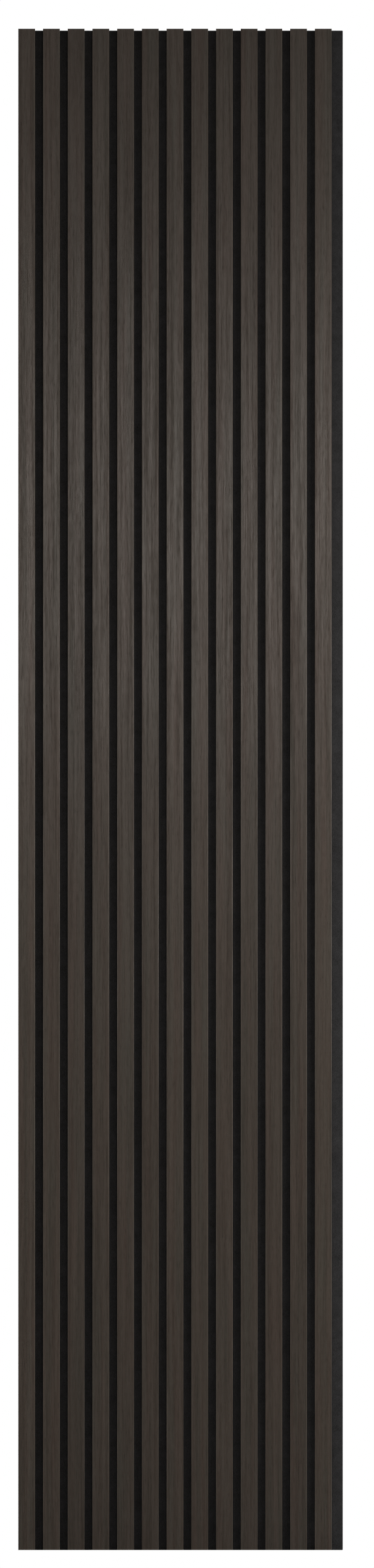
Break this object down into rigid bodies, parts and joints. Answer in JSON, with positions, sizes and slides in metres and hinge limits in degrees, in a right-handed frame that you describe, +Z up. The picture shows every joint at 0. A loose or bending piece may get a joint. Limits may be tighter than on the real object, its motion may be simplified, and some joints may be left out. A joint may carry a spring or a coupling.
{
  "type": "acoustic slat wall panel",
  "caption": "Tall wall panel of dark wood-veneered upright slats, evenly spaced and stapled to a black felt backing board, for covering a wall and softening sound.",
  "frame": {"origin": "middle of the felt's back face, which lies against the wall", "axes": "+Z up the wall along the slats, +Y out of the back into the wall, so the slats face -Y; +X to the right seen from the front"},
  "size_m": [0.52, 0.021, 2.44],
  "materials": {
    "veneer": "dark-stained straight-grained veneer, satin",
    "fibreboard": "sawn fibreboard, matt",
    "felt": "pressed polyester felt, matt black",
    "staple_wire": "galvanised flat wire"
  },
  "bodies": {
    "root": {"felt_backing": "felt", "slat_core_01": "fibreboard", "slat_core_02": "fibreboard", "slat_core_03": "fibreboard", "slat_core_04": "fibreboard", "slat_core_05": "fibreboard", "slat_core_06": "fibreboard", "slat_core_07": "fibreboard", "slat_core_08": "fibreboard", "slat_core_09": "fibreboard", "slat_core_10": "fibreboard", "slat_core_11": "fibreboard", "slat_core_12": "fibreboard", "slat_core_13": "fibreboard", "slat_veneer_01": "veneer", "slat_veneer_02": "veneer", "slat_veneer_03": "veneer", "slat_veneer_04": "veneer", "slat_veneer_05": "veneer", "slat_veneer_06": "veneer", "slat_veneer_07": "veneer", "slat_veneer_08": "veneer", "slat_veneer_09": "veneer", "slat_veneer_10": "veneer", "slat_veneer_11": "veneer", "slat_veneer_12": "veneer", "slat_veneer_13": "veneer", "staples": "staple_wire"}
  },
  "joints": []
}
